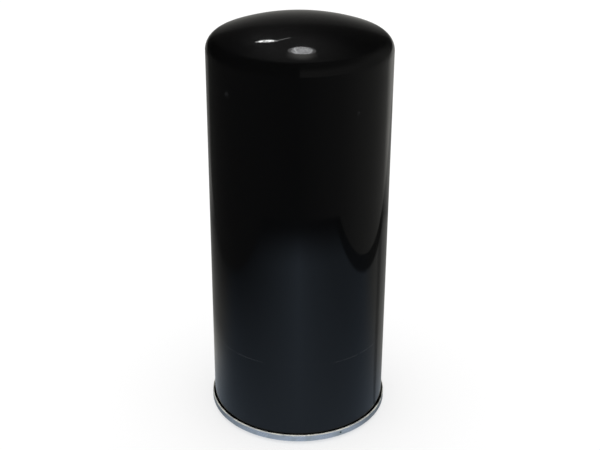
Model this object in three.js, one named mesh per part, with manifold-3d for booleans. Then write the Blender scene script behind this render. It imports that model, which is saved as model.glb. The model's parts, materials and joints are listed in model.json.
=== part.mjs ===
// A tall spin-on oil filter, standing on its sealing gasket with its dome up.
// Millimetres, +Z up. The origin is on the filter's axis, in the plane of the gasket's sealing face.
// Every pressed, turned or moulded piece is its own closed mesh, and neighbours touch or keep a gap.
import * as THREE from "three";
import { mergeVertices } from "three/addons/utils/BufferGeometryUtils.js";
import Module from "manifold-3d";

const wasm = await Module();
wasm.setup();

// ---- Driving dimensions ----
const TOTAL_HEIGHT = 217.5; // sealing face to the top of the dome
const CAN_R = 46.5;
const CAN_WALL = 0.6;
const CAN_CORNER_R = 7.3; // shoulder between the wall and the crown
const CROWN_R = 114;
const GASKET_PROUD = 1.5; // how far the gasket stands below the seam
const SEAM_R = 47.75;
const SEAM_HEIGHT = 4.2;
const LID_SHEET = 0.6;
const LID_PANEL_Z = 5.3; // mid-thickness of the lid's flat panel
const GASKET_R = [31, 35.75];
const RIDGE_R = [36.5, 37.9]; // the folded ridge round the gasket
const PLATE_R = 44.6;
const PLATE_THICKNESS = 4;
const COLLAR_R = 16;
const COLLAR_TOP = 19;
const THREAD_PITCH = 25.4 / 12; // 1 inch, 12 threads per inch
const THREAD_R = [11.6, 12.8]; // minor and major radius
const INLETS = 8;
const INLET_R = 4.2;
const INLET_CIRCLE_R = 23.2;
const CAP_SHEET = 0.5;
const CAP_R = 41.5;
const CAP_RIM = 5.6; // height of an end cap's rims
const ELEMENT_BOTTOM = 18.9; // underside of the lower end cap
const ELEMENT_TOP = 182.8; // upper face of the upper end cap
const POTTING = 2.5; // adhesive depth in an end cap
const MEDIA_R = [20, 40];
const PLEATS = 48;
const PAPER = 0.6;
const TUBE_R = [18.4, 19];
const TUBE_HOLE_R = 2.6;
const TUBE_HOLE_ROWS = 6;
const TUBE_HOLES_PER_ROW = 8;
const CAGE_R = 12.3; // mid-wall of the relief valve's cage
const CAGE_FLOOR_Z = 167.9; // mid-thickness of the cage's floor
const CAGE_SHEET = 0.6;
const PORT_R = 7.6; // opening that the relief valve closes
const SEAT_THICKNESS = 0.8;
const SEAL_THICKNESS = 1;
const SEAL_R = [7, 11];
const STEM_R = 2.2;
const VALVE_WIRE_R = 0.55;
const HOLD_WIRE_R = 1.3;
const GAP = 0.05; // between pieces that only lie against each other
const FOLD_GAP = 0.1; // between the sheets of the rolled seam
const DIAPHRAGM_R = [16.3, 18.8, 30.4]; // hub's inside and outside, cone's rim
const LIP_R = [30.6, 33];
const LOWER_HOLE_R = 17.05; // mid-wall of the lower end cap's inner rim
const UPPER_HOLE_R = 13.05;
const BAND_R = [40.7, 41.2];
const BAND_HEIGHT = 3;
const FLANGE_R = 15.6; // relief valve's cage flange and seat
const WINDOW = 9; // sides of the cage's square windows
const WINDOW_Z = 174.6;
const STEM_BOTTOM = 165.5;
const DISC_THICKNESS = 1;

// ---- Derived heights ----
const PANEL_TOP = LID_PANEL_Z + LID_SHEET / 2;
const GROOVE_FLOOR = LID_PANEL_Z - LID_SHEET / 2;
const PLATE_TOP = PANEL_TOP + PLATE_THICKNESS;
const MEDIA_BOTTOM = ELEMENT_BOTTOM + CAP_SHEET + POTTING + 2 * GAP;
const MEDIA_TOP = ELEMENT_TOP - CAP_SHEET - POTTING - 2 * GAP;
const SEAT_BOTTOM = ELEMENT_TOP + CAGE_SHEET;
const SEAL_BOTTOM = SEAT_BOTTOM - SEAL_THICKNESS;
const FOOT_BOTTOM = GASKET_PROUD + LID_SHEET + 2 * FOLD_GAP; // underside of the can's foot flange
const SEGMENTS = 48; // round the can, the lid, the plate and the gasket
const INNER_SEGMENTS = 24;

// ---- Materials ----
const finish = (color, roughness, metalness) =>
  new THREE.MeshStandardMaterial({ color, roughness, metalness });
const materials = {
  paint: finish(0x0a0b0d, 0.16, 0),
  zinc: finish(0xb4b6b8, 0.35, 1),
  steel: finish(0x8d9093, 0.4, 1),
  tinplate: finish(0xc3c2bc, 0.3, 1),
  rubber: finish(0x131313, 0.6, 0),
  silicone: finish(0x9b3a1c, 0.55, 0),
  compound: finish(0x08080a, 0.7, 0),
  paper: finish(0xd9c79a, 0.9, 0),
  adhesive: finish(0x8c2f24, 0.5, 0),
  spring: finish(0x6f7276, 0.3, 1),
};

// ---- Shape helpers ----

// A polyline thickened to both sides with mitred corners, as a pressed sheet is: a closed outline.
function sheetProfile(path, thickness) {
  const points = path.map(([r, z]) => new THREE.Vector2(r, z));
  const side = (sign) =>
    points.map((p, i) => {
      const before = p.clone().sub(points[Math.max(i - 1, 0)]).normalize();
      const after = points[Math.min(i + 1, points.length - 1)].clone().sub(p).normalize();
      const into = i === 0 ? after : before;
      const along = into.clone().add(i === points.length - 1 ? before : after).normalize();
      const reach = thickness / 2 / along.dot(into);
      return [p.x - sign * along.y * reach, p.y + sign * along.x * reach];
    });
  return [...side(-1).reverse(), ...side(1)];
}

// A solid of revolution about Z from an outline in (radius, height). An outline that starts and ends
// on the axis stays open there, and any other is closed on itself.
function turned(outline, segments = SEGMENTS) {
  const area = outline.reduce((sum, [r, z], i) => {
    const [r2, z2] = outline[(i + 1) % outline.length];
    return sum + r * z2 - r2 * z;
  }, 0);
  const ordered = area > 0 ? outline : [...outline].reverse();
  const points = ordered.map(([r, z]) => new THREE.Vector2(Math.max(r, 0), z));
  const onAxis = points[0].x < 1e-9 && points.at(-1).x < 1e-9;
  if (!onAxis) points.push(points[0].clone());
  return new THREE.LatheGeometry(points, segments).rotateX(Math.PI / 2);
}

const ring = (inner, outer, bottom, top, segments = SEGMENTS) =>
  turned([[inner, bottom], [outer, bottom], [outer, top], [inner, top]], segments);

// Points of a circular arc about (r, z), from one angle to another.
const arc = (r, z, radius, from, to, steps) =>
  Array.from({ length: steps + 1 }, (_, i) => {
    const angle = from + ((to - from) * i) / steps;
    return [r + radius * Math.cos(angle), z + radius * Math.sin(angle)];
  });

function toSolid(geometry) {
  const bare = geometry.clone();
  bare.deleteAttribute("normal");
  bare.deleteAttribute("uv");
  const merged = mergeVertices(bare, 1e-4);
  const vertProperties = merged.attributes.position.array;
  const triVerts = new Uint32Array(merged.index.array);
  return new wasm.Manifold(new wasm.Mesh({ numProp: 3, vertProperties, triVerts }));
}

function toGeometry(solid) {
  const { vertProperties, triVerts } = solid.getMesh();
  const geometry = new THREE.BufferGeometry();
  geometry.setAttribute("position", new THREE.BufferAttribute(vertProperties, 3));
  return geometry.setIndex(new THREE.BufferAttribute(triVerts, 1));
}

const cut = (geometry, tools) =>
  toGeometry(tools.reduce((solid, tool) => solid.subtract(toSolid(tool)), toSolid(geometry)));

// A vertical cylinder standing at (x, y).
const post = (x, y, radius, bottom, top, sides) =>
  new THREE.CylinderGeometry(radius, radius, top - bottom, sides)
    .rotateX(Math.PI / 2)
    .translate(x, y, (bottom + top) / 2);

// A wire coil about Z. Its end turns lie nearly flat, and its radius may change evenly with height.
class CoilCurve extends THREE.Curve {
  constructor({ bottom, top, radii, turns, closedRise }) {
    super();
    Object.assign(this, { bottom, top, radii, turns, closedRise });
  }
  getPoint(t, target = new THREE.Vector3()) {
    const turn = t * this.turns;
    const working = this.top - this.bottom - 2 * this.closedRise;
    const ends = Math.min(turn, 1) + Math.max(turn - (this.turns - 1), 0);
    const middle = Math.min(Math.max((turn - 1) / (this.turns - 2), 0), 1);
    const height = this.bottom + this.closedRise * ends + working * middle;
    const radius = this.radii[0] + (this.radii[1] - this.radii[0]) * t;
    const angle = 2 * Math.PI * turn;
    return target.set(radius * Math.cos(angle), radius * Math.sin(angle), height);
  }
}

function coil(settings, wireR, stepsPerTurn, sides) {
  const section = new THREE.Shape();
  section.absarc(0, 0, wireR, 0, 2 * Math.PI);
  return new THREE.ExtrudeGeometry(section, {
    curveSegments: sides / 2, // a full circle gets twice as many points
    steps: Math.round(settings.turns * stepsPerTurn),
    extrudePath: new CoilCurve(settings),
    bevelEnabled: false,
  });
}

// A threaded rod, used to cut an internal thread. Its rows of points follow the helix: after one turn
// a row meets the row that is one pitch higher, and a fan to the axis closes each end.
function threadedRod([minor, major], pitch, bottom, turns) {
  const sides = 24;
  const flank = [[0, minor], [0.25, minor], [0.56, major], [0.69, major]]; // share of pitch, radius
  const rows = turns * flank.length;
  const positions = [];
  for (let row = 0; row <= rows; row += 1) {
    const [share, radius] = flank[row % flank.length];
    const rise = Math.floor(row / flank.length) + share;
    for (let i = 0; i < sides; i += 1) {
      const angle = (2 * Math.PI * i) / sides;
      const z = bottom + pitch * (rise + i / sides);
      positions.push(radius * Math.cos(angle), radius * Math.sin(angle), z);
    }
  }
  const at = (row, i) => (i < sides ? row * sides + i : (row + flank.length) * sides);
  const faces = [];
  for (let row = 0; row < rows; row += 1) {
    for (let i = 0; i < sides; i += 1) {
      const beyond = i === sides - 1 && row + 1 + flank.length > rows;
      if (!beyond) {
        faces.push(at(row, i), at(row, i + 1), at(row + 1, i + 1));
        faces.push(at(row, i), at(row + 1, i + 1), at(row + 1, i));
      }
    }
  }
  // The open edges at both ends, each walked so that its fan faces outwards.
  const used = new Map();
  for (let f = 0; f < faces.length; f += 3) {
    for (let k = 0; k < 3; k += 1) {
      used.set(`${faces[f + k]},${faces[f + ((k + 1) % 3)]}`, [faces[f + k], faces[f + ((k + 1) % 3)]]);
    }
  }
  const low = positions.length / 3;
  positions.push(0, 0, bottom - pitch, 0, 0, bottom + pitch * (turns + 2));
  for (const [a, b] of used.values()) {
    if (used.has(`${b},${a}`)) continue;
    const nearBottom = positions[3 * a + 2] < bottom + (pitch * turns) / 2;
    faces.push(b, a, nearBottom ? low : low + 1);
  }
  const geometry = new THREE.BufferGeometry();
  geometry.setAttribute("position", new THREE.Float32BufferAttribute(positions, 3));
  return geometry.setIndex(faces);
}

// ---- The pieces ----

// Deep-drawn can: a foot flange that the lid is rolled round, the wall, the shoulder and the crown.
function shellCan() {
  const half = CAN_WALL / 2;
  const wallR = CAN_R - half;
  const footZ = FOOT_BOTTOM + half;
  const footR = SEAM_R - LID_SHEET - FOLD_GAP;
  const crownCentre = TOTAL_HEIGHT - CROWN_R;
  const reach = CROWN_R - CAN_CORNER_R;
  const cornerR = CAN_R - CAN_CORNER_R;
  const cornerZ = crownCentre + Math.sqrt(reach ** 2 - cornerR ** 2);
  const meet = Math.atan2(cornerZ - crownCentre, cornerR);
  const path = [
    [footR, footZ],
    [wallR, footZ],
    ...arc(cornerR, cornerZ, CAN_CORNER_R - half, 0, meet, 4),
    ...arc(0, crownCentre, CROWN_R - half, meet, Math.PI / 2, 4).slice(1),
  ];
  return turned(sheetProfile(path, CAN_WALL));
}

// Thin lid: the rolled seam, a flat panel, the ridge round the gasket, its groove and an inner lip.
function seamingLid() {
  const half = LID_SHEET / 2;
  const outer = SEAM_R - half;
  const chuck = CAN_R - CAN_WALL - FOLD_GAP - half;
  const foot = GASKET_PROUD + half;
  const ridgeZ = 2.4;
  const lipR = 30.3;
  const path = [
    [outer, GASKET_PROUD + SEAM_HEIGHT],
    [outer, foot],
    [chuck, foot],
    [chuck, LID_PANEL_Z],
    [RIDGE_R[1], LID_PANEL_Z],
    [RIDGE_R[1], ridgeZ],
    [RIDGE_R[0], ridgeZ],
    [RIDGE_R[0], LID_PANEL_Z],
    [lipR, LID_PANEL_Z],
    [lipR, ridgeZ],
  ];
  return turned(sheetProfile(path, LID_SHEET));
}

// Sealing compound in the seam, between the can's wall and the rolled edge of the lid.
function seamCompound() {
  const depth = 0.65;
  const bottom = FOOT_BOTTOM + CAN_WALL + GAP;
  return ring(CAN_R + GAP, SEAM_R - LID_SHEET - GAP, bottom, bottom + depth);
}

// Thick plate with the threaded collar in the middle and the inlet holes round it.
function threadPlate() {
  const fillet = 1.5;
  const chamfer = 0.8;
  const beyond = 1; // how far a cutter runs past a face
  const blank = turned([
    [0, PANEL_TOP],
    [PLATE_R, PANEL_TOP],
    [PLATE_R, PLATE_TOP],
    [COLLAR_R + fillet, PLATE_TOP],
    [COLLAR_R, PLATE_TOP + fillet],
    [COLLAR_R, COLLAR_TOP - chamfer],
    [COLLAR_R - chamfer, COLLAR_TOP],
    [0, COLLAR_TOP],
  ]);
  const leadIn = THREAD_R[1] + chamfer;
  const depth = 2.2; // of the cone that leads into the thread
  const countersink = turned([
    [0, PANEL_TOP - beyond],
    [leadIn, PANEL_TOP - beyond],
    [leadIn, PANEL_TOP],
    [leadIn - depth, PANEL_TOP + depth],
    [0, PANEL_TOP + depth],
  ], INNER_SEGMENTS);
  const inlets = Array.from({ length: INLETS }, (_, i) => {
    const angle = (2 * Math.PI * (i + 0.5)) / INLETS;
    const x = INLET_CIRCLE_R * Math.cos(angle);
    const y = INLET_CIRCLE_R * Math.sin(angle);
    return post(x, y, INLET_R, PANEL_TOP - beyond, PLATE_TOP + beyond, 12);
  });
  const rod = threadedRod(THREAD_R, THREAD_PITCH, PANEL_TOP - 2 * THREAD_PITCH, 9);
  return cut(blank, [rod, countersink, ...inlets]);
}

const sealingGasket = () => ring(...GASKET_R, 0, GROOVE_FLOOR);

// Anti-drainback valve: a hub clamped on the collar, with a cone that covers the inlet holes.
function drainbackDiaphragm() {
  const [inner, hub, outer] = DIAPHRAGM_R;
  const foot = 12; // underside of the hub
  const rim = [10, 11.1];
  const root = [12.9, 14.4]; // where the cone leaves the hub
  return turned([
    [inner, foot],
    [hub - 0.6, foot],
    [hub, root[0]],
    [outer, rim[0]],
    [outer, rim[1]],
    [hub, root[1]],
    [hub, ELEMENT_BOTTOM],
    [inner, ELEMENT_BOTTOM],
  ], INNER_SEGMENTS);
}

// The valve's sealing lip, which rests on the plate outside the inlet holes.
function drainbackLip() {
  const [inner, outer] = LIP_R;
  const tops = [PLATE_TOP + 1.7, PLATE_TOP + 1.2];
  return turned([[inner, PLATE_TOP], [outer, PLATE_TOP], [outer, tops[1]], [inner, tops[0]]],
    INNER_SEGMENTS);
}

// End caps: flat pressings with a rim at the outside and a rim at the middle hole.
function endCap(faceZ, holeR, up) {
  const half = CAP_SHEET / 2;
  const outer = CAP_R - half;
  const mid = faceZ + up * half;
  const rim = faceZ + up * CAP_RIM;
  const path = [[outer, rim], [outer, mid], [holeR, mid], [holeR, rim]];
  return turned(sheetProfile(path, CAP_SHEET), INNER_SEGMENTS);
}

function potting(faceZ, holeR, up) {
  const near = faceZ + up * (CAP_SHEET + GAP);
  const far = near + up * POTTING;
  const inner = holeR + CAP_SHEET / 2 + GAP;
  const outer = CAP_R - CAP_SHEET - GAP;
  return ring(inner, outer, Math.min(near, far), Math.max(near, far), INNER_SEGMENTS);
}

// Folded paper: a zigzag band with flat tips, drawn in plan and extruded up.
function pleatedMedia() {
  const pitch = (2 * Math.PI) / PLEATS;
  const [inner, outer] = MEDIA_R;
  const tip = 0.9; // half the width of a tip, outside
  const fold = 0.35; // half the width of a valley, outside
  const trace = (tipR, tipHalf, foldR, foldHalf) => {
    const points = [];
    for (let i = 0; i < PLEATS; i += 1) {
      const angle = pitch * i;
      const corners = [
        [tipR, angle - tipHalf / tipR],
        [tipR, angle + tipHalf / tipR],
        [foldR, angle + pitch / 2 - foldHalf / foldR],
        [foldR, angle + pitch / 2 + foldHalf / foldR],
      ];
      corners.forEach(([r, a]) => points.push(new THREE.Vector2(r * Math.cos(a), r * Math.sin(a))));
    }
    return points;
  };
  const band = new THREE.Shape(trace(outer, tip, inner + PAPER, fold));
  band.holes.push(new THREE.Path(trace(outer - PAPER, tip - PAPER, inner, fold + PAPER)));
  const depth = MEDIA_TOP - MEDIA_BOTTOM;
  return new THREE.ExtrudeGeometry(band, { depth, bevelEnabled: false }).translate(0, 0, MEDIA_BOTTOM);
}

// Metal clip that joins the two ends of the paper, over the outside of one pleat.
function pleatClip() {
  const [inside, outside] = [1.05, 1.4];
  const back = [MEDIA_R[1] + GAP, MEDIA_R[1] + 0.4];
  const legEnd = 35.5;
  const channel = new THREE.Shape([
    new THREE.Vector2(legEnd, -outside),
    new THREE.Vector2(back[1], -outside),
    new THREE.Vector2(back[1], outside),
    new THREE.Vector2(legEnd, outside),
    new THREE.Vector2(legEnd, inside),
    new THREE.Vector2(back[0], inside),
    new THREE.Vector2(back[0], -inside),
    new THREE.Vector2(legEnd, -inside),
  ]);
  const margin = 4; // below and above, clear of the end caps' rims
  const depth = MEDIA_TOP - MEDIA_BOTTOM - 2 * margin;
  const bottom = MEDIA_BOTTOM + margin;
  return new THREE.ExtrudeGeometry(channel, { depth, bevelEnabled: false }).translate(0, 0, bottom);
}

// Perforated tube that holds the paper up from the inside. Alternate rows of holes are staggered.
function centreTube() {
  const tube = ring(...TUBE_R, MEDIA_BOTTOM, MEDIA_TOP, INNER_SEGMENTS);
  const spacing = (MEDIA_TOP - MEDIA_BOTTOM) / TUBE_HOLE_ROWS;
  const drills = [];
  for (let row = 0; row < TUBE_HOLE_ROWS; row += 1) {
    for (let i = 0; i < TUBE_HOLES_PER_ROW / 2; i += 1) {
      const angle = (2 * Math.PI * (i + 0.5 * (row % 2))) / TUBE_HOLES_PER_ROW;
      drills.push(
        new THREE.CylinderGeometry(TUBE_HOLE_R, TUBE_HOLE_R, 3 * TUBE_R[1], 6)
          .rotateZ(angle + Math.PI / 2)
          .translate(0, 0, MEDIA_BOTTOM + spacing * (row + 0.5)),
      );
    }
  }
  return cut(tube, drills);
}

// A bead of hot-melt round the pleat tips that keeps them evenly spaced.
function mediaBand(share) {
  const z = MEDIA_BOTTOM + (MEDIA_TOP - MEDIA_BOTTOM) * share;
  return ring(...BAND_R, z - BAND_HEIGHT / 2, z + BAND_HEIGHT / 2, INNER_SEGMENTS);
}

// Relief valve's cage: a flanged cup with four windows and a guide hole for the stem.
function bypassCage() {
  const guideR = 2.55;
  const flangeZ = ELEMENT_TOP + CAGE_SHEET / 2;
  const path = [[FLANGE_R, flangeZ], [CAGE_R, flangeZ], [CAGE_R, CAGE_FLOOR_Z], [guideR, CAGE_FLOOR_Z]];
  const cup = turned(sheetProfile(path, CAGE_SHEET), INNER_SEGMENTS);
  const through = 40; // longer than the cup is wide, so one box cuts two windows
  const windows = (turn) =>
    new THREE.BoxGeometry(through, WINDOW, WINDOW).rotateZ(turn).translate(0, 0, WINDOW_Z);
  return cut(cup, [windows(0), windows(Math.PI / 2)]);
}

const bypassSeat = () =>
  ring(PORT_R, FLANGE_R, SEAT_BOTTOM, SEAT_BOTTOM + SEAT_THICKNESS, INNER_SEGMENTS);
const bypassSeal = () => ring(...SEAL_R, SEAL_BOTTOM, SEAT_BOTTOM, INNER_SEGMENTS);

function bypassPoppet() {
  const disc = 11.2;
  const step = [4, 1.5]; // radius and depth of the step that centres the spring
  const under = SEAL_BOTTOM - DISC_THICKNESS;
  return turned([
    [0, STEM_BOTTOM],
    [STEM_R, STEM_BOTTOM],
    [STEM_R, under - step[1]],
    [step[0], under - step[1]],
    [step[0], under],
    [disc, under],
    [disc, SEAL_BOTTOM],
    [0, SEAL_BOTTOM],
  ], INNER_SEGMENTS);
}

function bypassSpring() {
  const clear = VALVE_WIRE_R + GAP;
  const settings = {
    bottom: CAGE_FLOOR_Z + CAGE_SHEET / 2 + clear,
    top: SEAL_BOTTOM - DISC_THICKNESS - clear,
    radii: [6, 6],
    turns: 5,
    closedRise: 2 * VALVE_WIRE_R + 0.1,
  };
  return coil(settings, VALVE_WIRE_R, 12, 6);
}

// Dished ring on the upper end cap that centres the hold-down spring.
function springSeat() {
  const half = CAGE_SHEET / 2;
  const floor = ELEMENT_TOP + half;
  const [inner, outer] = [17, 27.5];
  const path = [[inner, floor + 3], [inner, floor], [outer, floor], [outer, floor + 1.8]];
  return turned(sheetProfile(path, CAGE_SHEET), INNER_SEGMENTS);
}

// Hold-down spring: pushes the element onto the thread plate, from the inside of the dome.
function elementSpring() {
  const topR = 19;
  const domeInside = TOTAL_HEIGHT - CAN_WALL - (topR + HOLD_WIRE_R) ** 2 / (2 * CROWN_R);
  const settings = {
    bottom: ELEMENT_TOP + CAGE_SHEET + HOLD_WIRE_R + GAP,
    top: domeInside - HOLD_WIRE_R - 0.15,
    radii: [22.5, topR],
    turns: 4.5,
    closedRise: 2 * HOLD_WIRE_R + 0.1,
  };
  return coil(settings, HOLD_WIRE_R, 14, 8);
}

// ---- Assembly ----
const filter = new THREE.Group();
function add(name, geometry, material) {
  const mesh = new THREE.Mesh(geometry, materials[material]);
  mesh.name = name;
  filter.add(mesh);
}

add("shell_can", shellCan(), "paint");
add("seaming_lid", seamingLid(), "zinc");
add("seam_compound", seamCompound(), "compound");
add("thread_plate", threadPlate(), "steel");
add("sealing_gasket", sealingGasket(), "rubber");
add("drainback_diaphragm", drainbackDiaphragm(), "silicone");
add("drainback_lip", drainbackLip(), "silicone");
add("lower_end_cap", endCap(ELEMENT_BOTTOM, LOWER_HOLE_R, 1), "tinplate");
add("upper_end_cap", endCap(ELEMENT_TOP, UPPER_HOLE_R, -1), "tinplate");
add("lower_potting", potting(ELEMENT_BOTTOM, LOWER_HOLE_R, 1), "adhesive");
add("upper_potting", potting(ELEMENT_TOP, UPPER_HOLE_R, -1), "adhesive");
add("pleated_media", pleatedMedia(), "paper");
add("pleat_clip", pleatClip(), "tinplate");
add("centre_tube", centreTube(), "tinplate");
[0.25, 0.5, 0.75].forEach((share, i) => add(`media_band_${i + 1}`, mediaBand(share), "adhesive"));
add("bypass_cage", bypassCage(), "tinplate");
add("bypass_seat", bypassSeat(), "steel");
add("bypass_seal", bypassSeal(), "rubber");
add("bypass_poppet", bypassPoppet(), "steel");
add("bypass_spring", bypassSpring(), "spring");
add("spring_seat", springSeat(), "tinplate");
add("element_spring", elementSpring(), "spring");

export default filter;
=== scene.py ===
"""The looks of a tall spin-on oil filter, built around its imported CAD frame.

Outlines are in millimetres as (radius, height) and become metres when a mesh is made.
Every CAD node is plain and faceted, so each one is replaced by a fine piece of the same size.
"""

import json
import math

import bpy
import bmesh
import numpy as np
from mathutils import Matrix, Vector


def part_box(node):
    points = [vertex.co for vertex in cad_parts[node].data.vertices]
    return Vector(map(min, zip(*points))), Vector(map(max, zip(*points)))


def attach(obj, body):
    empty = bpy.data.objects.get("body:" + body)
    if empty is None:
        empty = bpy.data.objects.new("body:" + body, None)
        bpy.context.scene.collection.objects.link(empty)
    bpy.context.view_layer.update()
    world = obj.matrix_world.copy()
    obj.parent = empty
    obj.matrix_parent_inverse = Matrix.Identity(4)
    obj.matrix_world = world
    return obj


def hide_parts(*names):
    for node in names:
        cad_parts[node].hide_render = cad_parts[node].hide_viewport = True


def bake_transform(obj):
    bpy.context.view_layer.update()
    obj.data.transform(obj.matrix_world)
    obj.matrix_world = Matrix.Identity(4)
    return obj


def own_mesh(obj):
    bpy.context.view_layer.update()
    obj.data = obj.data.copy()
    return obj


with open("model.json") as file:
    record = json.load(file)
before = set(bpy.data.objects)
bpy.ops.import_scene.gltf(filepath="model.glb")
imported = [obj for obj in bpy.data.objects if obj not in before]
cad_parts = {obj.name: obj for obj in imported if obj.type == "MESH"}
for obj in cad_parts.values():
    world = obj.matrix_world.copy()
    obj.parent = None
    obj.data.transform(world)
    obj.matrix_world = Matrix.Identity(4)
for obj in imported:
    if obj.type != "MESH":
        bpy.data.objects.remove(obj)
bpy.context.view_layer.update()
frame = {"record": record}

MM = 0.001

# ---- Sizes shared with the CAD model, in millimetres ----
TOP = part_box("shell_can")[1].z / MM
SEAM_LOW, SEAM_HIGH = (corner.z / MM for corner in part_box("seaming_lid"))
SEAM_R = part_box("seaming_lid")[1].x / MM
PANEL_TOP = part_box("thread_plate")[0].z / MM
COLLAR_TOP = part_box("thread_plate")[1].z / MM
PLATE_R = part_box("thread_plate")[1].x / MM
GASKET_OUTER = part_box("sealing_gasket")[1].x / MM
GASKET_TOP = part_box("sealing_gasket")[1].z / MM
LOWER_CAP_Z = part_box("lower_end_cap")[0].z / MM
UPPER_CAP_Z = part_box("upper_end_cap")[1].z / MM
CAP_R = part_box("lower_end_cap")[1].x / MM
MEDIA_LOW, MEDIA_HIGH = (corner.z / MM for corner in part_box("pleated_media"))
CAN_R = 46.5
CAN_WALL = 0.6
SHOULDER_R = 7.3
CROWN_R = 114
LID_SHEET = 0.6
LID_CLEARANCE = 0.1
GASKET_INNER = 31
PLATE_THICKNESS = 4
COLLAR_R = 16
THREAD_PITCH = 25.4 / 12
THREAD_R = (11.6, 12.8)
INLETS = 8
INLET_R = 4.2
INLET_CIRCLE_R = 23.2
CAP_SHEET = 0.5
CAP_RIM = 5.6
LOWER_HOLE_R = 17.05
UPPER_HOLE_R = 13.05
PLEATS = 48
PAPER = 0.6
FOLD_CIRCLE_R = 20.0  # the pleats' inner folds
CAGE_R = 12.3
CAGE_SHEET = 0.6

# ---- Smoothness ----
SEGMENTS = 256  # round what shows from outside
INNER_SEGMENTS = 128
SHARP_ANGLE = math.radians(34)  # edges that turn more than this stay crisp


# ---- Outlines ----
def arc(r, z, radius, start, stop, steps):
    """Points of an arc about (r, z), with its angles in degrees."""
    angles = np.radians(np.linspace(start, stop, steps + 1))
    return [(r + radius * math.cos(a), z + radius * math.sin(a)) for a in angles]


def bent(path, radius, steps=5):
    """A polyline with each inner corner rounded, as far as its legs leave room."""
    points = [Vector(p) for p in path]
    out = [points[0]]
    for before, corner, after in zip(points, points[1:], points[2:]):
        into, away = (corner - before), (after - corner)
        room = 0.48 * min(into.length, away.length)
        into.normalize()
        away.normalize()
        turn = math.acos(max(-1, min(1, into.dot(away))))
        if turn < 1e-3:
            out.append(corner)
            continue
        reach = min(radius * math.tan(turn / 2), room)
        bend = reach / math.tan(turn / 2)
        side = math.copysign(1, into.x * away.y - into.y * away.x)
        normal = Vector((-into.y, into.x)) * side
        centre = corner - into * reach + normal * bend
        for step in range(steps + 1):
            spoke = Matrix.Rotation(side * turn * step / steps, 2) @ -normal
            out.append(centre + spoke * bend)
    out.append(points[-1])
    return [tuple(p) for p in out]


def sheet(path, thickness, radius, steps=5):
    """The outline of a bent sheet along a centreline, with rounded ends that stop at the path's ends."""
    half = thickness / 2
    line = np.array(bent(path, radius, steps), float)
    along = np.gradient(line, axis=0)
    along /= np.linalg.norm(along, axis=1)[:, None]
    line[0] += along[0] * half
    line[-1] -= along[-1] * half
    across = np.column_stack([-along[:, 1], along[:, 0]])
    left = line + across * half
    right = line - across * half

    def cap(centre, heading):
        base = math.degrees(math.atan2(heading[1], heading[0]))
        return arc(*centre, half, base + 90, base - 90, 6)[1:-1]

    end = cap(line[-1], along[-1])
    start = cap(line[0], -along[0])
    return [*map(tuple, left), *end, *map(tuple, right[::-1]), *start]


def rounded(outline, radius, steps=4):
    """A closed outline with all its corners rounded."""
    first = ((outline[0][0] + outline[-1][0]) / 2, (outline[0][1] + outline[-1][1]) / 2)
    return bent([first, *outline, first], radius, steps)[:-1]


def block(inner, outer, low, high, radius=0.3):
    """A ring's outline with eased edges."""
    return rounded([(inner, low), (outer, low), (outer, high), (inner, high)], radius)


# ---- Meshes ----
def finished(name, vertices, faces):
    """An object from points in millimetres, with its faces pointing out and its shading smooth."""
    mesh = bpy.data.meshes.new(name)
    mesh.from_pydata([Vector(v) * MM for v in vertices], [], faces)
    work = bmesh.new()
    work.from_mesh(mesh)
    bmesh.ops.recalc_face_normals(work, faces=work.faces)
    work.to_mesh(mesh)
    work.free()
    mesh.shade_smooth()
    mesh.set_sharp_from_angle(angle=SHARP_ANGLE)
    piece = bpy.data.objects.new(name, mesh)
    bpy.context.scene.collection.objects.link(piece)
    return piece


def lathe(name, outline, segments=INNER_SEGMENTS, reshape=None):
    """A solid of revolution. An outline that starts and ends on the axis is open there, others close.
    reshape(radius, height, angle) may give each point another radius."""
    polar = outline[0][0] < 1e-6 and outline[-1][0] < 1e-6
    rows = outline[1:-1] if polar else outline
    angles = [2 * math.pi * i / segments for i in range(segments)]
    vertices = []
    for r, z in rows:
        for a in angles:
            radius = reshape(r, z, a) if reshape else r
            vertices.append((radius * math.cos(a), radius * math.sin(a), z))
    faces = []
    for j in range(len(rows) - 1 if polar else len(rows)):
        low, high = j * segments, (j + 1) % len(rows) * segments
        for i in range(segments):
            k = (i + 1) % segments
            faces.append((low + i, low + k, high + k, high + i))
    if polar:
        for (_, z), row in ((outline[0], 0), (outline[-1], len(rows) - 1)):
            pole = len(vertices)
            vertices.append((0, 0, z))
            for i in range(segments):
                faces.append((pole, row * segments + i, row * segments + (i + 1) % segments))
    return finished(name, vertices, faces)


def extruded(name, outer, inner, low, high):
    """A wall between two closed outlines in plan with equal counts of points, from low to high."""
    count = len(outer)
    vertices = [(x, y, z) for z in (low, high) for ring in (outer, inner) for x, y in ring]
    corners = ((0, 2), (2, 3), (3, 1), (1, 0))  # outside, top, inside, bottom
    faces = []
    for a, b in corners:
        for i in range(count):
            k = (i + 1) % count
            faces.append((a * count + i, a * count + k, b * count + k, b * count + i))
    return finished(name, vertices, faces)


def cut(piece, cutters):
    """Takes the cutters' shapes out of a piece."""
    joined = bmesh.new()
    for cutter in cutters:
        joined.from_mesh(cutter.data)
    tool = bpy.data.objects.new("tool", bpy.data.meshes.new("tool"))
    joined.to_mesh(tool.data)
    joined.free()
    bpy.context.scene.collection.objects.link(tool)
    modifier = piece.modifiers.new("cut", "BOOLEAN")
    modifier.operation = "DIFFERENCE"
    modifier.solver = "EXACT"
    modifier.object = tool
    depsgraph = bpy.context.evaluated_depsgraph_get()
    mesh = bpy.data.meshes.new_from_object(piece.evaluated_get(depsgraph))
    piece.modifiers.clear()
    piece.data = mesh
    mesh.shade_smooth()
    mesh.set_sharp_from_angle(angle=SHARP_ANGLE)
    for used in (*cutters, tool):
        bpy.data.objects.remove(used)
    return piece


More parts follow.
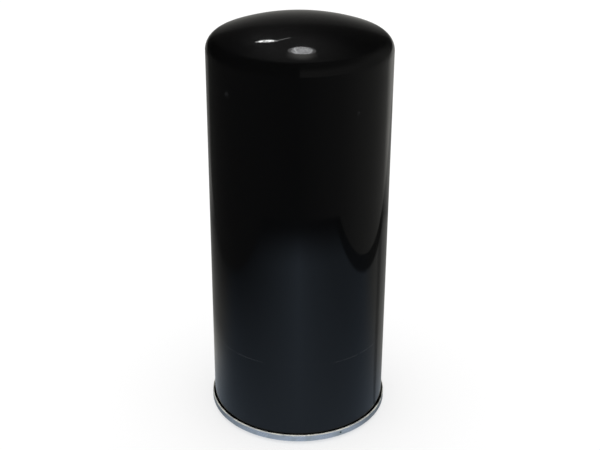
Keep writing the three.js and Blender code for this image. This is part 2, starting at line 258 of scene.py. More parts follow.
def drill(x, y, radius, low, high, flare=0.0, sides=48):
    """A vertical cutter at (x, y). Its ends flare, which eases the edges of the hole."""
    ease = arc(radius + flare, low + flare, flare, 270, 180, 4) if flare else [(radius, low)]
    rest = arc(radius + flare, high - flare, flare, 180, 90, 4) if flare else [(radius, high)]
    wide = radius + 2 * flare
    ends = [(wide, low)] if flare else []
    tops = [(wide, high)] if flare else []
    below, above = low - 2, high + 2
    outline = [(0, below), (wide, below), *ends, *ease, *rest, *tops, (wide, above), (0, above)]
    tool = lathe("drill", outline, sides)
    tool.data.transform(Matrix.Translation((x * MM, y * MM, 0)))
    return tool


def coil(name, low, high, radii, turns, closed_rise, wire, steps_per_turn=48, sides=16):
    """A wire coil about Z with nearly flat end turns, ground flat at both ends."""
    steps = round(turns * steps_per_turn)
    working = high - low - 2 * closed_rise

    def centre(share):
        turn = share * turns
        ends = min(turn, 1) + max(turn - (turns - 1), 0)
        middle = min(max((turn - 1) / (turns - 2), 0), 1)
        radius = radii[0] + (radii[1] - radii[0]) * share
        angle = 2 * math.pi * turn
        height = low + closed_rise * ends + working * middle
        return Vector((radius * math.cos(angle), radius * math.sin(angle), height))

    ground = 0.6 * wire
    vertices = []
    for step in range(steps + 1):
        share = step / steps
        at = centre(share)
        tangent = centre(min(share + 1e-4, 1)) - centre(max(share - 1e-4, 0))
        radial = Vector((at.x, at.y, 0)).normalized()
        binormal = tangent.normalized().cross(radial)
        for side in range(sides):
            angle = 2 * math.pi * side / sides
            point = at + (radial * math.cos(angle) + binormal * math.sin(angle)) * wire
            point.z = min(max(point.z, low - ground), high + ground)
            vertices.append(point)
    faces = [tuple(range(sides)), tuple(steps * sides + side for side in range(sides))]
    for step in range(steps):
        for side in range(sides):
            a, b = step * sides + side, step * sides + (side + 1) % sides
            faces.append((a, b, b + sides, a + sides))
    return finished(name, vertices, faces)


# ---- Materials ----
class Finish:
    """A node material with one Principled shader, built up by short calls."""

    def __init__(self, name, **constants):
        self.material = bpy.data.materials.new(name)
        self.material.use_nodes = True
        self.tree = self.material.node_tree
        self.shader = self.tree.nodes["Principled BSDF"]
        for socket, value in constants.items():
            self.set(socket.replace("_", " "), value)
        self.place = self.node("TexCoord").outputs["Object"]

    def node(self, kind, inputs=None, **settings):
        made = self.tree.nodes.new("ShaderNode" + kind)
        for key, value in settings.items():
            setattr(made, key, value)
        for key, value in (inputs or {}).items():
            self.feed(made.inputs[key], value)
        return made

    def feed(self, socket, value):
        if isinstance(value, bpy.types.NodeSocket):
            self.tree.links.new(value, socket)
        else:
            socket.default_value = value

    def set(self, name, value):
        self.feed(self.shader.inputs[name], value)

    def math(self, operation, a, b=0.0):
        return self.node("Math", {0: a, 1: b}, operation=operation).outputs[0]

    def span(self, value, low, high, to_low=0.0, to_high=1.0):
        """value from low..high carried to to_low..to_high, and held beyond."""
        inputs = {"Value": value, "From Min": low, "From Max": high}
        inputs |= {"To Min": to_low, "To Max": to_high}
        return self.node("MapRange", inputs, interpolation_type="SMOOTHSTEP").outputs["Result"]

    def ramp(self, value, stops):
        """A grey level read off straight lines between (value, level) stops."""
        low, high = stops[0][0], stops[-1][0]
        place = self.node("MapRange", {"Value": value, "From Min": low, "From Max": high})
        made = self.node("ValToRGB", {0: place.outputs["Result"]})
        points = made.color_ramp.elements
        for _ in stops[2:]:
            points.new(0.5)
        for point, (at, level) in zip(points, stops):
            point.position = (at - low) / (high - low)
            point.color = (level, level, level, 1)
        return made.outputs["Color"]

    def tint(self, share, a, b):
        mix = self.node("Mix", {0: share}, data_type="RGBA")
        self.feed(mix.inputs[6], (*a, 1) if isinstance(a, tuple) else a)
        self.feed(mix.inputs[7], (*b, 1) if isinstance(b, tuple) else b)
        return mix.outputs[2]

    def stretched(self, scale, place=None):
        scaled = self.node("VectorMath", {0: place or self.place, 1: scale}, operation="MULTIPLY")
        return scaled.outputs[0]

    def noise(self, scale, detail=4.0, place=None, roughness=0.55):
        inputs = {"Vector": place or self.place, "Scale": scale, "Detail": detail}
        inputs["Roughness"] = roughness
        return self.node("TexNoise", inputs).outputs["Fac"]

    def cells(self, scale, place=None):
        inputs = {"Vector": place or self.place, "Scale": scale}
        return self.node("TexVoronoi", inputs).outputs["Distance"]

    def polar(self):
        """(angle, radius, height) of a point about the filter's axis."""
        parts = self.node("SeparateXYZ", {0: self.place})
        x, y, z = parts.outputs
        angle = self.math("ARCTAN2", y, x)
        square = self.math("ADD", self.math("MULTIPLY", x, x), self.math("MULTIPLY", y, y))
        return angle, self.math("SQRT", square), z

    def joined(self, x, y, z):
        return self.node("CombineXYZ", {0: x, 1: y, 2: z}).outputs[0]

    def near(self, point, reach):
        """1 at a point in millimetres, falling to 0 at a distance of reach."""
        spot = self.node("VectorMath", {0: self.place, 1: Vector(point) * MM}, operation="DISTANCE")
        return self.span(spot.outputs["Value"], 0.0, reach * MM, 1.0, 0.0)

    def bump(self, height, depth, normal=None):
        """A bump whose height from 0 to 1 is depth millimetres deep."""
        inputs = {"Height": height, "Distance": depth * MM, "Strength": 1.0}
        if normal:
            inputs["Normal"] = normal
        return self.node("Bump", inputs).outputs["Normal"]


def wall_point(azimuth, height, radius=CAN_R):
    """A point on the filter's side. Azimuth is in degrees from the front, -Y, towards +X."""
    a = math.radians(azimuth)
    return (radius * math.sin(a), -radius * math.cos(a), height)


RUB_RING_Z = 48.0
SCUFFS = [(-48, 190, 2.6), (37, 183, 1.4)]  # azimuth in degrees, height, size


def black_paint():
    """Gloss black enamel: a smooth clear surface over satin pigment, with dust and a few light scuffs."""
    f = Finish("gloss_black_paint", Roughness=0.42, IOR=1.45, Coat_Weight=1.0, Coat_Roughness=0.035)
    f.set("Coat IOR", 1.5)
    f.set("Specular IOR Level", 0.05)
    angle, _, z = f.polar()
    x = f.node("SeparateXYZ", {0: f.place}).outputs["X"]
    # Dust that settled on the paint, and the fine hairlines of wiping.
    specks = f.span(f.noise(1900, 2), 0.74, 0.8)
    drifts = f.span(f.noise(38, 3), 0.45, 0.7)
    dust = f.math("MULTIPLY", specks, drifts)
    hair_place = f.joined(f.math("MULTIPLY", angle, 1.2), 0.0, f.math("MULTIPLY", z, 900.0))
    hairs = f.span(f.noise(3.0, 6, hair_place), 0.6, 0.75)
    hairs = f.math("MULTIPLY", hairs, f.span(f.noise(14, 2), 0.55, 0.75, 0.0, 0.35))
    # A fine ring rubbed round the can by its carton.
    off_ring = f.math("ABSOLUTE", f.math("SUBTRACT", z, RUB_RING_Z * MM))
    ring = f.span(off_ring, 0.00006, 0.00022, 1.0, 0.0)
    broken = f.joined(f.math("MULTIPLY", angle, 3.0), 0.0, 0.0)
    ring = f.math("MULTIPLY", ring, f.span(f.noise(2.2, 5, broken), 0.35, 0.6, 0.3, 1.0))
    ring = f.math("MULTIPLY", ring, f.span(f.math("ABSOLUTE", x), 0.012, 0.03, 0.1, 1.0))
    marks = ring
    for azimuth, height, size in SCUFFS:
        spot = f.near(wall_point(azimuth, height), size)
        scratchy = f.span(f.noise(2600, 1), 0.5, 0.62)
        marks = f.math("MAXIMUM", marks, f.math("MULTIPLY", spot, scratchy))
    pale = f.math("MAXIMUM", f.math("MULTIPLY", dust, 0.5), f.math("MAXIMUM", hairs, marks))
    pale = f.math("MULTIPLY", pale, 0.5)
    f.set("Base Color", f.tint(pale, (0.0019, 0.002, 0.0022), (0.05, 0.052, 0.055)))
    f.set("Roughness", f.span(f.noise(70, 3), 0.3, 0.7, 0.38, 0.48))
    peel = f.bump(f.noise(420, 2), 0.0006)
    peel = f.bump(f.noise(55, 2), 0.004, peel)
    f.set("Normal", peel)
    f.set("Coat Normal", peel)
    return f.material



NICK = (28.5, 3.8)  # azimuth in degrees, height
PAINTED_HIGHLIGHT_BAND = (0.75, 0.35)  # the painted highlight on the rim's edge fades in this far below the rim's top
OUTER_FACE = (0.4, 0.6)  # how far outside the can's wall the rim's outer face is


def zinc():
    """Bright zinc on rolled sheet: grain round the axis, dull stains, painted shade on two opposite sides
    and a painted highlight along the upper edge.
    """
    f = Finish("zinc_plate", Metallic=1.0)
    angle, radius, z = f.polar()
    grain_place = f.joined(f.math("MULTIPLY", angle, 2.0), f.math("MULTIPLY", radius, 500.0),
                           f.math("MULTIPLY", z, 1500.0))
    grain = f.noise(2.0, 6, grain_place)
    stains = f.span(f.noise(150, 4), 0.42, 0.7)
    spangle = f.cells(260)
    base = f.tint(stains, (0.9, 0.9, 0.93), (0.72, 0.74, 0.7))
    base = f.tint(f.span(grain, 0.35, 0.65, 0.0, 0.35), base, (0.62, 0.63, 0.64))
    base = f.tint(f.span(spangle, 0.2, 0.7, 0.0, 0.12), base, (0.95, 0.96, 1.0))
    # Painted shade: patchy darkening on two opposite sides, left and right as seen from the front.
    x = f.node("SeparateXYZ", {0: f.place}).outputs["X"]
    painted_side_shade = f.span(f.math("ABSOLUTE", x), 0.022, 0.044)
    painted_side_shade = f.math("MULTIPLY", painted_side_shade, f.span(f.noise(45, 4), 0.3, 0.6, 0.5, 1.0))
    base = f.tint(painted_side_shade, base, (0.4, 0.41, 0.4))
    # Painted highlight: the rolled rim's upper outer edge is painted pale cream in patches and made partly
    # non-metallic, so the white surround lights it bright.
    high = f.span(z, *[(SEAM_HIGH - drop) * MM for drop in PAINTED_HIGHLIGHT_BAND])
    outside = f.span(radius, *[(CAN_R + step) * MM for step in OUTER_FACE])
    patchy = f.span(f.noise(210, 4), 0.3, 0.62, 0.35, 1.0)
    edge = f.math("MULTIPLY", f.math("MULTIPLY", high, outside), patchy)
    base = f.tint(edge, base, (0.78, 0.775, 0.69))
    nick = f.span(f.near(wall_point(*NICK, SEAM_R), 0.8), 0.25, 0.45)
    base = f.tint(nick, base, (0.02, 0.02, 0.02))
    f.set("Base Color", base)
    # Less metallic where the highlight is painted, so the white surround lights that edge.
    f.set("Metallic", f.math("SUBTRACT", 0.93, f.math("MULTIPLY", edge, 0.7)))
    f.set("Roughness", f.math("ADD", f.span(grain, 0.3, 0.7, 0.24, 0.36),
                              f.math("MULTIPLY", stains, 0.1)))
    f.set("Normal", f.bump(nick, -0.15, f.bump(grain, 0.004)))
    return f.material



def steel_plate():
    """Stamped cold-rolled steel with a film of oil: fine speckle and faint drawing lines."""
    f = Finish("plate_steel", Metallic=1.0, Coat_Weight=0.3, Coat_Roughness=0.25)
    lines = f.noise(90, 6, f.stretched((1.0, 14.0, 1.0)))
    blotch = f.span(f.noise(95, 4), 0.35, 0.7)
    base = f.tint(f.span(lines, 0.3, 0.7), (0.46, 0.46, 0.47), (0.6, 0.6, 0.6))
    base = f.tint(f.math("MULTIPLY", blotch, 0.4), base, (0.33, 0.31, 0.29))
    f.set("Base Color", base)
    f.set("Roughness", f.span(blotch, 0.0, 1.0, 0.3, 0.46))
    f.set("Normal", f.bump(f.noise(1500, 3), 0.006, f.bump(lines, 0.01)))
    return f.material


def tinplate():
    """Tin-coated sheet: nearly mirror bright, with rolling lines and hazy patches."""
    f = Finish("tinplate", Metallic=1.0)
    lines = f.noise(120, 5, f.stretched((16.0, 1.0, 1.0)))
    haze = f.span(f.noise(60, 4), 0.4, 0.7)
    f.set("Base Color", f.tint(haze, (0.8, 0.79, 0.76), (0.64, 0.63, 0.6)))
    f.set("Roughness", f.math("ADD", f.span(lines, 0.3, 0.7, 0.18, 0.3), f.math("MULTIPLY", haze, 0.1)))
    f.set("Normal", f.bump(lines, 0.004))
    return f.material


def rubber(name, dark, light, gloss):
    """Moulded rubber with a fine skin and a trace of bloom."""
    f = Finish(name, IOR=1.5)
    bloom = f.span(f.noise(130, 5), 0.45, 0.72)
    f.set("Base Color", f.tint(bloom, dark, light))
    f.set("Roughness", f.span(bloom, 0.0, 1.0, gloss, gloss + 0.16))
    skin = f.bump(f.noise(3200, 2), 0.01)
    f.set("Normal", f.bump(f.noise(240, 3), 0.02, skin))
    return f.material


def filter_paper():
    """Resin-treated paper: short fibres, cloudy resin and the embossed ribs of the folder."""
    f = Finish("filter_paper", Roughness=0.86, Sheen_Weight=0.15)
    cloud = f.noise(220, 5)
    fibre = f.noise(1500, 5, f.stretched((1.0, 1.0, 0.35)))
    base = f.tint(f.span(cloud, 0.35, 0.68), (0.8, 0.67, 0.4), (0.66, 0.5, 0.26))
    base = f.tint(f.span(fibre, 0.5, 0.75, 0.0, 0.45), base, (0.9, 0.82, 0.6))
    f.set("Base Color", base)
    z = f.polar()[2]
    ribs = f.math("SINE", f.math("MULTIPLY", z, 2 * math.pi / (2.6 * MM)))
    f.set("Normal", f.bump(fibre, 0.05, f.bump(f.span(ribs, -1.0, 1.0), 0.12)))
    return f.material


def adhesive(name, deep, thin):
    """Set adhesive: a glossy skin with small bubbles and a flowed surface."""
    f = Finish(name, Roughness=0.36, IOR=1.48, Subsurface_Weight=0.08)
    flow = f.noise(110, 4)
    bubbles = f.span(f.cells(700), 0.0, 0.22, 1.0, 0.0)
    f.set("Base Color", f.tint(f.span(flow, 0.35, 0.7), deep, thin))
    f.set("Normal", f.bump(flow, 0.25, f.bump(bubbles, 0.05)))
    return f.material


def spring_wire():
    """Drawn and tempered wire: blue-grey, with die lines and a little rust freckle."""
    f = Finish("spring_steel", Metallic=1.0)
    scale = f.span(f.noise(420, 4), 0.4, 0.66)
    freckle = f.span(f.noise(900, 2), 0.68, 0.76)
    base = f.tint(scale, (0.3, 0.31, 0.34), (0.45, 0.45, 0.46))
    f.set("Base Color", f.tint(f.math("MULTIPLY", freckle, 0.5), base, (0.24, 0.12, 0.06)))
    f.set("Roughness", f.span(scale, 0.0, 1.0, 0.26, 0.42))
    f.set("Normal", f.bump(f.noise(1300, 3), 0.004))
    return f.material


# ---- Finishes by material slot ----
FINISHES = {
    "gloss_black_paint": black_paint(),
    "zinc_plate": zinc(),
    "seam_compound": rubber("seam_compound", (0.004, 0.004, 0.004), (0.01, 0.01, 0.01), 0.7),
    "plate_steel": steel_plate(),
    "nitrile_rubber": rubber("nitrile_rubber", (0.012, 0.012, 0.013), (0.03, 0.03, 0.031), 0.42),
    "silicone_rubber": rubber("silicone_rubber", (0.42, 0.075, 0.022), (0.5, 0.12, 0.045), 0.38),
    "tinplate": tinplate(),
    "plastisol": adhesive("plastisol", (0.3, 0.045, 0.03), (0.42, 0.09, 0.055)),
    "filter_paper": filter_paper(),
    "hot_melt": adhesive("hot_melt", (0.7, 0.58, 0.36), (0.82, 0.74, 0.55)),
    "spring_steel": spring_wire(),
}
SLOTS = {row["node"]: row["material_slot"] for row in frame["record"]["subparts"]}
BODIES = {node: body for body, nodes in frame["record"]["behaviour"]["bodies"].items() for node in nodes}


def stand_for(piece, node, ride=True):
    """Gives a fine piece the finish, slot and body of the CAD node that it replaces."""
    slot = SLOTS[node]
    piece.data.materials.clear()
    piece.data.materials.append(FINISHES[slot])
    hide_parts(node)
    if ride:
        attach(piece, BODIES[node])
    return piece


# ---- The outside ----
def shell_can():
    """The drawn can: foot flange, wall, shoulder and crown, as one sheet of even thickness."""
    half = CAN_WALL / 2
    wall_r = CAN_R - half
    foot_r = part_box("shell_can")[1].x / MM
    foot_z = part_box("shell_can")[0].z / MM + half
    centre_z = TOP - CROWN_R
    corner_r = CAN_R - SHOULDER_R
    corner_z = centre_z + math.sqrt((CROWN_R - SHOULDER_R) ** 2 - corner_r**2)
    meet = math.degrees(math.atan2(corner_z - centre_z, corner_r))

    def skin(offset):
        bend = 0.55
        foot = bent([(foot_r, foot_z - offset), (wall_r + offset, foot_z - offset),
                     (wall_r + offset, foot_z + 6)], bend)
        rise = [(wall_r + offset, z) for z in np.linspace(12, corner_z - 3, 24)]
        shoulder = arc(corner_r, corner_z, SHOULDER_R - half + offset, 0, meet, 28)
        crown = arc(0, centre_z, CROWN_R - half + offset, meet, 90, 30)[1:]
        return [*foot, *rise, *shoulder, *crown]

    outline = [*skin(-half)[::-1], *skin(half)]
    return lathe("fine_shell_can", outline, SEGMENTS)


def seaming_lid():
    """The lid: rolled seam, flat panel, the ridge and groove for the gasket, and the inner lip."""
    half = LID_SHEET / 2
    chuck = CAN_R - CAN_WALL - LID_CLEARANCE - half
    panel = PANEL_TOP - half
    ridge_r = (36.5, 37.9)
    ridge_z = 2.4
    lip_r = 30.3
    tuck = 0.12  # the rim leans in a little towards the can
    path = [
        (SEAM_R - half - tuck, SEAM_HIGH),
        (SEAM_R - half, SEAM_HIGH - 0.9),
        (SEAM_R - half, SEAM_LOW + half),
        (chuck, SEAM_LOW + half),
        (chuck, panel),
        (ridge_r[1], panel),
        (ridge_r[1], ridge_z),
        (ridge_r[0], ridge_z),
        (ridge_r[0], panel),
        (lip_r, panel),
        (lip_r, ridge_z),
    ]
    return lathe("fine_seaming_lid", sheet(path, LID_SHEET, 0.62, 6), SEGMENTS)


def seam_compound():
    """The bead of sealing compound between the rim and the can."""
    low, high = (corner.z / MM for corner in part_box("seam_compound"))
    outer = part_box("seam_compound")[1].x / MM
    return lathe("fine_seam_compound", block(CAN_R + 0.04, outer, low, high, 0.15), SEGMENTS)


def sealing_gasket():
    """Square-cut ring with eased edges and a shallow bead on its sealing face."""
    bead = [(32.6, 0.0), (32.9, 0.18), (33.85, 0.18), (34.15, 0.0)]
    outline = [(GASKET_INNER, 0.0), *bead, (GASKET_OUTER, 0.0), (GASKET_OUTER, GASKET_TOP),
               (GASKET_INNER, GASKET_TOP)]
    return lathe("fine_sealing_gasket", rounded(outline, 0.35), SEGMENTS)


def thread_radius(z, angle):
    """The internal thread's radius: flat roots and crests with straight flanks between."""
    minor, major = THREAD_R
    share = (z / THREAD_PITCH - angle / (2 * math.pi)) % 1
    flank = 0.31
    rise = min(max((share - 0.2) / flank, 0), 1)
    fall = min(max((share - 0.2 - flank - 0.18) / flank, 0), 1)
    return minor + (major - minor) * (rise - fall)


def thread_plate():
    """Stamped plate with its threaded collar. The inlets have rolled edges, as pierced holes do."""
    minor, major = THREAD_R
    top = PANEL_TOP + PLATE_THICKNESS
    fillet = 1.5
    lead = major + 0.8
    rows = np.arange(PANEL_TOP, COLLAR_TOP + 0.001, 0.11)

    def bore(z):
        """The bore's bare radius: cone-shaped lead-ins at both mouths."""
        return max(minor, lead - (z - PANEL_TOP), major + 0.3 - (COLLAR_TOP - z))

    outside = [
        *arc(PLATE_R - 0.4, PANEL_TOP + 0.4, 0.4, 270, 360, 4),
        *arc(PLATE_R - 0.7, top - 0.7, 0.7, 0, 90, 5),
        *arc(COLLAR_R + fillet, top + fillet, fillet, 270, 180, 6),
        *arc(COLLAR_R - 0.8, COLLAR_TOP - 0.8, 0.8, 0, 90, 5),
    ]
    inside = [(bore(z), z) for z in rows[::-1]]
    plate = lathe("fine_thread_plate", [*outside, *inside], 192,
                  lambda r, z, a: max(r, thread_radius(z, a)))
    holes = []
    for i in range(INLETS):
        a = 2 * math.pi * (i + 0.5) / INLETS
        x, y = INLET_CIRCLE_R * math.cos(a), INLET_CIRCLE_R * math.sin(a)
        holes.append(drill(x, y, INLET_R, PANEL_TOP, top, flare=0.35))
    return cut(plate, holes)


# ---- The anti-drainback valve ----
LIP_R = (30.6, 33)


def drainback_diaphragm():
    """Hub and cone in one moulding, with a thickened rim and a rib where the cone leaves the hub."""
    inner = COLLAR_R + 0.3
    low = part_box("drainback_diaphragm")[0].z / MM
    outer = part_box("drainback_diaphragm")[1].x / MM
    outline = [
        (inner, 12.0), (18.0, 12.0), (18.9, 12.8), (outer - 2.2, low + 0.55), (outer, low),
        (outer, low + 1.1), (outer - 2.2, low + 1.5), (19.4, 14.2), (18.8, 14.9), (18.8, 16.4),
        (18.3, 16.8), (18.8, 17.2), (18.8, LOWER_CAP_Z), (inner, LOWER_CAP_Z),
    ]
    cone = lathe("fine_drainback_diaphragm", rounded(outline, 0.3, 3), SEGMENTS)
    stand_for(cone, "drainback_diaphragm", ride=False)
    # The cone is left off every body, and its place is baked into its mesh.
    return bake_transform(cone)


def drainback_lip():
    """The lip: a soft wedge whose inner edge meets the cone's rim."""
    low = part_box("drainback_lip")[0].z / MM
    inner, outer = LIP_R
    outline = [(inner - 0.15, low + 0.35), (inner + 0.3, low), (outer, low), (outer, low + 0.9),
               (outer - 0.6, low + 1.25), (inner - 0.15, low + 1.7)]
    return lathe("fine_drainback_lip", rounded(outline, 0.25, 3), SEGMENTS)


# ---- The element ----
def end_cap(node, face_z, hole_r, up):
    """A pressed end cap with rims at its outside and its hole."""
    half = CAP_SHEET / 2
    outer = CAP_R - half
    mid = face_z + up * half
    rim = face_z + up * CAP_RIM
    path = [(outer, rim), (outer, mid), (hole_r, mid), (hole_r, rim)]
    return lathe(f"fine_{node}", sheet(path, CAP_SHEET, 0.7, 6))


def potting(node, hole_r, up):
    """Adhesive poured into a cap, drawn up a little where it meets the rims."""
    low, high = (corner.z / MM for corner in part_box(node))
    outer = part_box(node)[1].x / MM
    inner = hole_r + CAP_SHEET / 2 + 0.05
    dip = 0.35
    surface, floor = (high, low) if up > 0 else (low, high)
    level = surface - up * dip
    outline = [
        (inner, floor), (outer, floor), (outer, surface), (outer - 0.5, surface - up * 0.12),
        (outer - 1.3, level), (inner + 1.3, level), (inner + 0.5, surface - up * 0.12),
        (inner, surface),
    ]
    return lathe(f"fine_{node}", outline)


def pleated_media():
    """The folded paper: straight sides and round folds, each pleat leaning a little its own way."""
    pitch = 2 * math.pi / PLEATS
    half = PAPER / 2
    tip_bend, fold_bend = 0.62, 0.42
    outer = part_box("pleated_media")[1].x / MM
    tip_r, fold_r = outer - half - tip_bend, FOLD_CIRCLE_R + half + fold_bend
    centre = []
    for i in range(PLEATS):
        a = pitch * i
        sway = 0.0035 * math.sin(2.7 * i) if i else 0.0
        tip = Vector((math.cos(a + sway), math.sin(a + sway)))
        b = a + pitch / 2
        fold = Vector((math.cos(b), math.sin(b)))
        for turn in np.radians(np.linspace(-84, 84, 9)):
            spoke = Matrix.Rotation(turn, 2) @ tip
            centre.append(tip * tip_r + spoke * tip_bend)
        for turn in np.radians(np.linspace(84, -84, 7)):
            spoke = Matrix.Rotation(turn, 2) @ -fold
            centre.append(fold * fold_r + spoke * fold_bend)
    line = np.array(centre)
    along = np.roll(line, -1, 0) - np.roll(line, 1, 0)
    along /= np.linalg.norm(along, axis=1)[:, None]
    away = np.column_stack([along[:, 1], -along[:, 0]]) * half
    return extruded("fine_pleated_media", line + away, line - away, MEDIA_LOW, MEDIA_HIGH)


def pleat_clip():
    """Channel of folded strip over one pleat, with crimps down its legs."""
    low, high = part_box("pleat_clip")
    inside, outside = 1.05, high.y / MM
    back = (low.x / MM, high.x / MM)
    sheet_t = 0.35
    mid = outside - sheet_t / 2
    path = [(back[0], -mid), (back[1] - sheet_t / 2, -mid), (back[1] - sheet_t / 2, mid), (back[0], mid)]
    outline = sheet(path, sheet_t, 0.5)
    count = len(outline)
    levels = np.linspace(low.z / MM, high.z / MM, 61)
    vertices, faces = [], []
    for level, z in enumerate(levels):
        crimp = 0.06 if level % 6 == 3 else 0.0
        for x, y in outline:
            on_leg = x < back[1] - 1.2
            squeeze = crimp if on_leg and abs(y) > inside - 0.3 else 0.0
            vertices.append((x, y - math.copysign(squeeze, y), z))
    for level in range(len(levels) - 1):
        for i in range(count):
            a, b = level * count + i, level * count + (i + 1) % count
            faces.append((a, b, b + count, a + count))
    faces += [tuple(range(count)), tuple((len(levels) - 1) * count + i for i in range(count))]
    return finished("fine_pleat_clip", vertices, faces)


def media_band(node):
    """A bead of hot-melt, slightly uneven as it was laid."""
    low, high = (corner.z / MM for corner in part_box(node))
    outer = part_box(node)[1].x / MM
    middle = (low + high) / 2
    inner, half = outer - 0.5, (high - low) / 2
    outline = [(inner, middle - half), *arc(inner, middle, 1.0, -90, 90, 10), (inner, middle + half)]
    shaped = [(inner + (r - inner) * 0.5, middle + (z - middle) * half) for r, z in outline[1:-1]]

    def uneven(r, z, a):
        return r + (0.04 * math.sin(PLEATS * a) * (r > inner + 0.1))

    return lathe(f"fine_{node}", [(inner, middle - half), *shaped, (inner, middle + half)],
                 INNER_SEGMENTS * 3, uneven)


def centre_tube():
    """Rolled tube with rows of round holes, each row turned by half a space from the next."""
    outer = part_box("centre_tube")[1].x / MM
    inner = outer - 0.6
    rows, per_row, hole_r = 6, 8, 2.6
    tube = lathe("fine_centre_tube", block(inner, outer, MEDIA_LOW, MEDIA_HIGH, 0.15))
    spacing = (MEDIA_HIGH - MEDIA_LOW) / rows
    drills = []
    for row in range(rows):
        for i in range(per_row // 2):
            tool = lathe("drill", [(0, -30), (hole_r, -30), (hole_r, 30), (0, 30)], 32)
            angle = 2 * math.pi * (i + 0.5 * (row % 2)) / per_row
            height = MEDIA_LOW + spacing * (row + 0.5)
            turn = Matrix.Rotation(angle, 4, "Z") @ Matrix.Rotation(math.pi / 2, 4, "Y")
            tool.data.transform(Matrix.Translation((0, 0, height * MM)) @ turn)
            drills.append(tool)
    return cut(tube, drills)


# ---- The relief valve and the hold-down spring ----
WINDOW_Z = 174.6
WINDOW_SIZE = 9
WINDOW_CORNER = 1.6
WINDOW_REACH = 40  # a cutter goes right through the cage


def bypass_cage():
    """Flanged cup with four windows and a guide hole for the stem."""
    half = CAGE_SHEET / 2
    flange_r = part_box("bypass_cage")[1].x / MM
    low, high = (corner.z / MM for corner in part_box("bypass_cage"))
    path = [(flange_r, high - half), (CAGE_R, high - half), (CAGE_R, low + half), (2.55, low + half)]
    cup = lathe("fine_bypass_cage", sheet(path, CAGE_SHEET, 0.8, 6))
    windows = []
    for turn in (0, math.pi / 2):
        window = bmesh.new()
        bmesh.ops.create_cube(window, size=1)
        scale = Matrix.Diagonal((WINDOW_REACH * MM, WINDOW_SIZE * MM, WINDOW_SIZE * MM, 1))
        place = Matrix.Translation((0, 0, WINDOW_Z * MM)) @ Matrix.Rotation(turn, 4, "Z") @ scale
        bmesh.ops.transform(window, matrix=place, verts=window.verts)
        upright = [e for e in window.edges
                   if abs((e.verts[0].co - e.verts[1].co).normalized().dot(
                       Vector((math.cos(turn), math.sin(turn), 0)))) > 0.9]
        bmesh.ops.bevel(window, geom=upright, offset=WINDOW_CORNER * MM, segments=5, affect="EDGES",
                        profile=0.5)
        mesh = bpy.data.meshes.new("window")
        window.to_mesh(mesh)
        window.free()
        windows.append(bpy.data.objects.new("window", mesh))
    return cut(cup, windows)


def bypass_seat():
    """Seat ring with eased edges."""
    low, high = (corner.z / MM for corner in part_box("bypass_seat"))
    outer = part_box("bypass_seat")[1].x / MM
    return lathe("fine_bypass_seat", block(7.6, outer, low, high, 0.2))


def bypass_seal():
    """The rubber washer that closes the relief valve."""
    low, high = (corner.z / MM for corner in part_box("bypass_seal"))
    return lathe("fine_bypass_seal", block(7, 11, low, high, 0.25))


def bypass_poppet():
    """Turned poppet: disc, spring step and guided stem with a rounded end."""
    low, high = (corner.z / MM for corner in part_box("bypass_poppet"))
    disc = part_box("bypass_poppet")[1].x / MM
    under = high - 1
    stem, step = 2.2, 4.0
    outline = [
        (0, low), *arc(stem - 0.7, low + 0.7, 0.7, 270, 360, 5),
        *arc(stem + 0.4, under - 1.9, 0.4, 180, 90, 4),
        *arc(step - 0.3, under - 1.2, 0.3, 270, 360, 4), (step, under),
        *arc(disc - 0.3, under + 0.3, 0.3, 270, 360, 4), *arc(disc - 0.2, high - 0.2, 0.2, 0, 90, 4),
        (0, high),
    ]
    return lathe("fine_bypass_poppet", outline)


def bypass_spring():
    """The relief spring. Its lower end stands on the cage and its upper end meets the poppet."""
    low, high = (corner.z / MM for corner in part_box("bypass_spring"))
    wire = 0.55
    spring = coil("fine_bypass_spring", low + wire, high - wire, (6, 6), 5, 2 * wire + 0.1, wire)
    stand_for(spring, "bypass_spring")
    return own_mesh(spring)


def spring_seat():
    """Dished ring: an inner rim that centres the spring and a turned-up edge."""
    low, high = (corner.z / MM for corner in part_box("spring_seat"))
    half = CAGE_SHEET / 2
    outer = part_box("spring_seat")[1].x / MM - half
    path = [(17, high), (17, low + half), (outer, low + half), (outer, low + half + 1.8)]
    return lathe("fine_spring_seat", sheet(path, CAGE_SHEET, 0.8, 6))


def element_spring():
    """The tapered hold-down spring, whose upper end sits at the dome."""
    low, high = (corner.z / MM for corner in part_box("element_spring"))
    wire = 1.3
    spring = coil("fine_element_spring", low + wire, high - wire, (22.5, 19), 4.5, 2 * wire + 0.1,
                  wire, steps_per_turn=64)
    stand_for(spring, "element_spring")
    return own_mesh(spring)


# ---- The stage: a white sweep, and cards that show only as reflections ----
def glow(name, colour, strength=1.0):
    """A plain emissive material for a card."""
    material = bpy.data.materials.new(name)
    material.use_nodes = True
    tree = material.node_tree
    tree.nodes.clear()
    light = tree.nodes.new("ShaderNodeEmission")
    light.inputs["Color"].default_value = (*colour, 1)
    light.inputs["Strength"].default_value = strength
    out = tree.nodes.new("ShaderNodeOutputMaterial")
    tree.links.new(light.outputs[0], out.inputs["Surface"])
    return material


def reflection_only(card):
    """The card lights and shows in shiny surfaces, and the camera looks through it."""
    card.visible_camera = False
    card.visible_diffuse = False
    card.visible_shadow = False
    card.visible_transmission = False
    return card


def stage_mesh(name, vertices, faces, material):
    mesh = bpy.data.meshes.new(name)
    mesh.from_pydata(vertices, [], faces)
    mesh.materials.append(material)
    card = bpy.data.objects.new(name, mesh)
    bpy.context.scene.collection.objects.link(card)
    return card


def graded(name):
    """An emissive Finish whose strength is worked out from the place on the card."""
    f = Finish(name)
    f.tree.nodes.remove(f.shader)
    light = f.node("Emission")
    out = next(n for n in f.tree.nodes if n.type == "OUTPUT_MATERIAL")
    f.tree.links.new(light.outputs[0], out.inputs["Surface"])
    return f, light


TABLE_FRONT = 315  # from the axis, in millimetres
TABLE_BACK = 450
